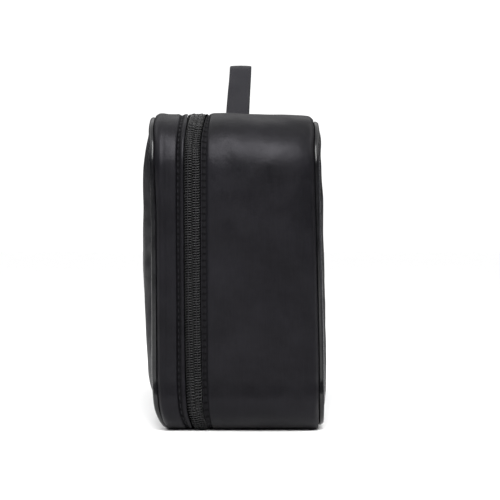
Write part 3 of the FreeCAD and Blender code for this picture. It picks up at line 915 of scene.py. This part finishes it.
def panel_layer(name, points, outward, top, bottom, cloth, trim=0):
    """One layer of a panel between two depths under its surface, its edge cut back by whole cells."""
    normal = panel_normals(points)
    normal = normal * (np.sign(normal[..., 1:2]) * outward)
    keep = slice(trim, -trim or None)
    points, normal, cloth = points[keep, keep], normal[keep, keep], cloth[keep, keep]
    rows, columns = points.shape[:2]
    upper = points - normal * top
    lower = points - normal * bottom
    count = rows * columns
    faces = grid_faces(rows, columns)
    back = [tuple(count + v for v in face[::-1]) for face in faces]
    rim = list(range(columns))
    rim += [i * columns + columns - 1 for i in range(1, rows)]
    rim += [(rows - 1) * columns + j for j in range(columns - 2, -1, -1)]
    rim += [i * columns for i in range(rows - 2, 0, -1)]
    wall = []
    for k, a in enumerate(rim):
        b = rim[(k + 1) % len(rim)]
        wall.append((b, a, count + a, count + b))
    everything = np.concatenate([upper.reshape(-1, 3), lower.reshape(-1, 3)])
    flat = np.concatenate([cloth.reshape(-1, 2), cloth.reshape(-1, 2)])
    if outward > 0:
        faces = [f[::-1] for f in faces]
        back = [f[::-1] for f in back]
        wall = [f[::-1] for f in wall]
    return soften(make_mesh(name, everything, faces + back + wall, flat))


def panel(node, body, seam, outward, crown, fullness, flare, lean_of, inset, seed):
    """A whole panel: the outer cloth, the foam behind it and the lining."""
    points, cloth, inside = panel_rest(crown, outward, seam, fullness, flare, lean_of, inset)
    points = drape(points, inside, outward)
    rows, columns = points.shape[:2]
    flat = points.reshape(-1, 3)
    near_edge = hill(9 * MM, 9 * MM, inside.ravel())
    held = smooth(0, 6 * MM, inside.ravel())
    broad = rumple(flat, 45 * MM, seed) * 1.1 * MM
    crease = rumple(flat * np.array([1.0, 0.5, 1.0]), 14 * MM, seed + 1)
    crease = crease * (0.22 * MM + 0.45 * MM * near_edge)
    flat[:, 1] += outward * (broad + crease) * held
    points = flat.reshape(rows, columns, 3)
    points[..., 2] = np.maximum(points[..., 2], 0.5 * MM)
    shell = panel_layer(node + "_cloth", points, outward, *PANEL_CLOTH_AT, cloth)
    finish_piece(shell, body, "shell_fabric", NYLON, node)
    foam = panel_layer(node + "_padding", points, outward, *PANEL_FOAM_AT, cloth, trim=2)
    finish_piece(foam, body, "foam", FOAM, node + "_foam")
    lining = panel_layer(node + "_inside", points, outward, *LINING_AT, cloth, trim=1)
    finish_piece(lining, body, "lining_fabric", LINING, node + "_lining")


def front_fullness(height):
    """How much of its crown the front panel has at each share of its height."""
    return 0.38 + 0.54 * hill(0.575, 0.29, height)


def rear_fullness(height):
    """The same for the back panel, which is fullest lower down."""
    return 0.65 + 0.35 * hill(0.45, 0.33, height)


def panels():
    """The front panel is fullest above its middle, and the back panel below its own."""
    panel(
        "front_panel", "lid", FRONT_SEAM, -1, crown=11.7 * MM, fullness=front_fullness,
        flare=0.5, lean_of=front_lean, inset=4.0 * MM, seed=11,
    )
    panel(
        "back_panel", "main_body", REAR_SEAM, 1, crown=4.6 * MM, fullness=rear_fullness,
        flare=0.9, lean_of=lambda x, z: rear_lean(z), inset=5.0 * MM, seed=23,
    )


# -------- handle
STRAP_THICK = 1.6 * MM
STRAP_GROUND = TOP + 1.5 * MM              # height of its middle where it is sewn down


def strap_path(step):
    """The strap's centre line in (x, z): sewn down, up one leg, over the top and down the other."""
    apex = STRAP_HIGH.z - STRAP_THICK / 2
    bend = 15 * MM
    foot = Vector((STRAP_FOOT, STRAP_GROUND))
    middle = Vector((0, apex - bend))
    away = foot - middle
    ratio = bend / away.length
    side = Vector((-away.y, away.x))
    touch = middle + away * ratio ** 2 + side * (ratio * math.sqrt(1 - ratio ** 2))
    angle = math.atan2(touch.y - middle.y, touch.x - middle.x)
    corners = [
        (STRAP_TIP, STRAP_GROUND),
        (STRAP_FOOT + 6 * MM, STRAP_GROUND),
        (STRAP_FOOT + 1 * MM, STRAP_GROUND + 1.2 * MM),
        (STRAP_FOOT - 4 * MM, STRAP_GROUND + 5.5 * MM),
        tuple(touch),
    ]
    for k in range(1, 12):
        a = angle + (PI - 2 * angle) * k / 12
        corners.append((middle.x + bend * math.cos(a), middle.y + bend * math.sin(a)))
    half = [c for c in corners if c[0] > 1e-6]
    whole = half + [(0, apex)] + [(-x, z) for x, z in half[::-1]]
    return resample(np.array(whole), step)


def resample(points, step):
    """Evenly spaced points along a smooth curve through the given ones."""
    gaps = np.linalg.norm(np.diff(points, axis=0), axis=1)
    along = np.concatenate([[0], np.cumsum(gaps)])
    count = max(2, round(along[-1] / step))
    even = np.linspace(0, along[-1], count * 4 + 1)
    line = np.stack([np.interp(even, along, points[:, k]) for k in range(points.shape[1])], axis=1)
    for _ in range(30):
        line[1:-1] = (line[:-2] + 2 * line[1:-1] + line[2:]) / 4
    return line[::4]


def strap():
    """One flat strap with rolled edges, folded into a standing loop and sewn down at both ends."""
    line = strap_path(2.2 * MM)
    ahead = np.gradient(line, axis=0)
    ahead /= np.linalg.norm(ahead, axis=1, keepdims=True)
    out = np.stack([ahead[:, 1], -ahead[:, 0]], axis=1)
    out *= np.where(out[:, 1:2] < 0, -1, 1)
    half = STRAP_HALF + 0.25 * MM
    profile = []
    for a in np.linspace(0, 2 * PI, 36, endpoint=False):
        across = math.copysign(abs(math.cos(a)) ** 0.35, math.cos(a)) * half
        lip = 0.12 * MM * hill(half - 0.9 * MM, 0.7 * MM, abs(across))
        groove = 0.10 * MM * hill(half - 2.2 * MM, 0.4 * MM, abs(across))
        thick = math.copysign(abs(math.sin(a)) ** 0.6, math.sin(a)) * (STRAP_THICK / 2 + lip - groove)
        profile.append((across, thick))
    along = np.concatenate([[0], np.cumsum(np.linalg.norm(np.diff(line, axis=0), axis=1))])
    points = []
    flat = []
    for k in range(len(line)):
        rise = (line[k, 1] - TOP) / (STRAP_HIGH.z - TOP)
        drift = 2.8 * MM * rise - 0.8 * MM
        wave = 0.3 * MM * noise.noise(Vector((along[k] / 0.03, 0, 7)))
        for across, thick in profile:
            cup = 0.35 * MM * (across / half) ** 2
            x = line[k, 0] + out[k, 0] * (thick - cup)
            z = line[k, 1] + out[k, 1] * (thick - cup)
            points.append((x, STRAP_Y + across + drift + wave, z))
            flat.append((along[k], across))
    faces = tube_faces(len(line), len(profile))
    piece = make_mesh("carry_strap", points, faces, np.array(flat))
    piece.data.materials.append(STRAP)
    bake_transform(piece)
    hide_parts("handle_strap", "handle_roots", "handle_end_left", "handle_end_right")


def strap_stitching():
    """A sewn box with a cross on each of the strap's ends."""
    near = STRAP_FOOT + 8 * MM
    far = STRAP_TIP - 2 * MM
    half = STRAP_HALF - 2 * MM
    middle_y = STRAP_Y - 0.8 * MM
    height = STRAP_GROUND + STRAP_THICK / 2 - 0.1 * MM
    corners = [(near, -half), (far, -half), (far, half), (near, half)]
    points = []
    faces = []
    flat = []
    for side in (-1, 1):
        for a, b in ((0, 1), (1, 2), (2, 3), (3, 0), (0, 2), (1, 3)):
            start = np.array([side * corners[a][0], middle_y + corners[a][1], height])
            end = np.array([side * corners[b][0], middle_y + corners[b][1], height])
            straight_stitches(start, end, points, faces, flat)
    piece = make_mesh("strap_stitches", points, faces, np.array(flat))
    finish_piece(piece, "main_body", "strap", THREAD)


def straight_stitches(start, end, points, faces, flat):
    """Adds a straight row of stitches on a level surface, each with its ends sunk into it."""
    rings = 6
    pitch = 2.6 * MM
    run = end - start
    length = np.linalg.norm(run)
    count = max(1, round(length / pitch))
    t = np.linspace(0, 1, rings)
    arch = np.sin(PI * t)
    radii = 0.26 * MM * (0.4 + 0.6 * arch)
    up = np.tile([0.0, 0.0, 1.0], (rings, 1))
    across = np.tile([-run[1] / length, run[0] / length, 0.0], (rings, 1))
    for k in range(count):
        along = (k + 0.12 + 0.76 * t) / count
        core = start + np.outer(along, run) + up * (0.3 * MM * arch - 0.2 * MM)[:, None]
        places = [(length * (k + share) / count, 0.0) for share in t]
        add_stitch(points, faces, flat, core, up, across, radii, places)


def frame_node_materials():
    """Materials for the CAD nodes that stay as they are."""
    materials = {"bottom_board": BOARD}
    for side in ("_left", "_right"):
        materials.update({"handle_patch" + side: PATCH, "zip_end_tab" + side: PATCH})
        materials.update({"slider" + side: METAL, "puller" + side: METAL})
    for node, material in materials.items():
        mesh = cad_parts[node].data
        mesh.materials.clear()
        mesh.materials.append(material)


# -------- stage, light and camera
def stage():
    """A plain pale floor under soft light, and the camera square-on to the bag's end."""
    bpy.ops.mesh.primitive_plane_add(size=600, location=(0, 0, 0))
    floor = bpy.context.object
    floor.name = "floor"
    n = Nodes(bpy.data.materials.new("floor_white"))
    place = n.add("TexCoord").outputs["Object"]
    n.wire(n.mix(n.noise(place, 3, 2), (0.96, 0.96, 0.96, 1), (0.98, 0.98, 0.98, 1)), "Base Color")
    n.set("Roughness", 0.9)
    n.set("Specular IOR Level", 0.1)
    floor.data.materials.append(n.owner)

    studio_world()
    softbox("key", (1.16, 0.0, 1.14), (HALF, 0, 0.15), 0.7, 0.9, 26)
    softbox("fill_front", (0.2, -1.3, 1.1), (0, 0, 0.1), 1.5, 0.8, 4.5)
    softbox("fill_back", (0.2, 1.3, 1.1), (0, 0, 0.1), 1.5, 0.8, 4.5)

    camera = bpy.data.cameras.new("camera")
    camera.lens = 100
    camera.sensor_width = 36
    camera.clip_end = 100
    holder = bpy.data.objects.new("camera", camera)
    holder.location = (HALF + 0.9, 0.011, 0.1185)
    holder.rotation_euler = (PI / 2, 0, PI / 2)
    bpy.context.scene.collection.objects.link(holder)
    bpy.context.scene.camera = holder
    bpy.context.scene.view_settings.view_transform = "Standard"


def studio_world():
    """Bright overhead and straight behind the bag, and dim all round."""
    n = Nodes(bpy.data.worlds.new("studio"), "Background")
    dim = 0.06
    split = n.add("SeparateXYZ", {"Vector": n.add("TexCoord").outputs["Generated"]})
    behind = n.remap(split.outputs["X"], -0.935, -0.965, dim, 1.12, "SMOOTHSTEP")
    above = n.remap(split.outputs["Z"], 0.32, 0.75, dim, 1.45, "SMOOTHSTEP")
    n.wire(n.math("MAXIMUM", behind, above), "Strength")
    n.set("Color", (1, 1, 1, 1))
    bpy.context.scene.world = n.owner


def softbox(name, place, target, width, height, power):
    """A rectangular soft light aimed at a point."""
    light = bpy.data.lights.new(name, "AREA")
    light.shape = "RECTANGLE"
    light.size = width
    light.size_y = height
    light.energy = power
    holder = bpy.data.objects.new(name, light)
    holder.location = place
    holder.rotation_euler = (Vector(target) - Vector(place)).to_track_quat("-Z", "Y").to_euler()
    bpy.context.scene.collection.objects.link(holder)


stage()
gusset_layers()
bottom_layers()
piping_and_binding()
zip_tapes()
coil("rear", 1, "main_body", 0.0)
coil("front", -1, "lid", 0.5)
coil_thread("rear", 1, "main_body", 0.0)
coil_thread("front", -1, "lid", 0.5)
zip_stitching()
panels()
strap()
strap_stitching()
frame_node_materials()

bpy.context.view_layer.update()
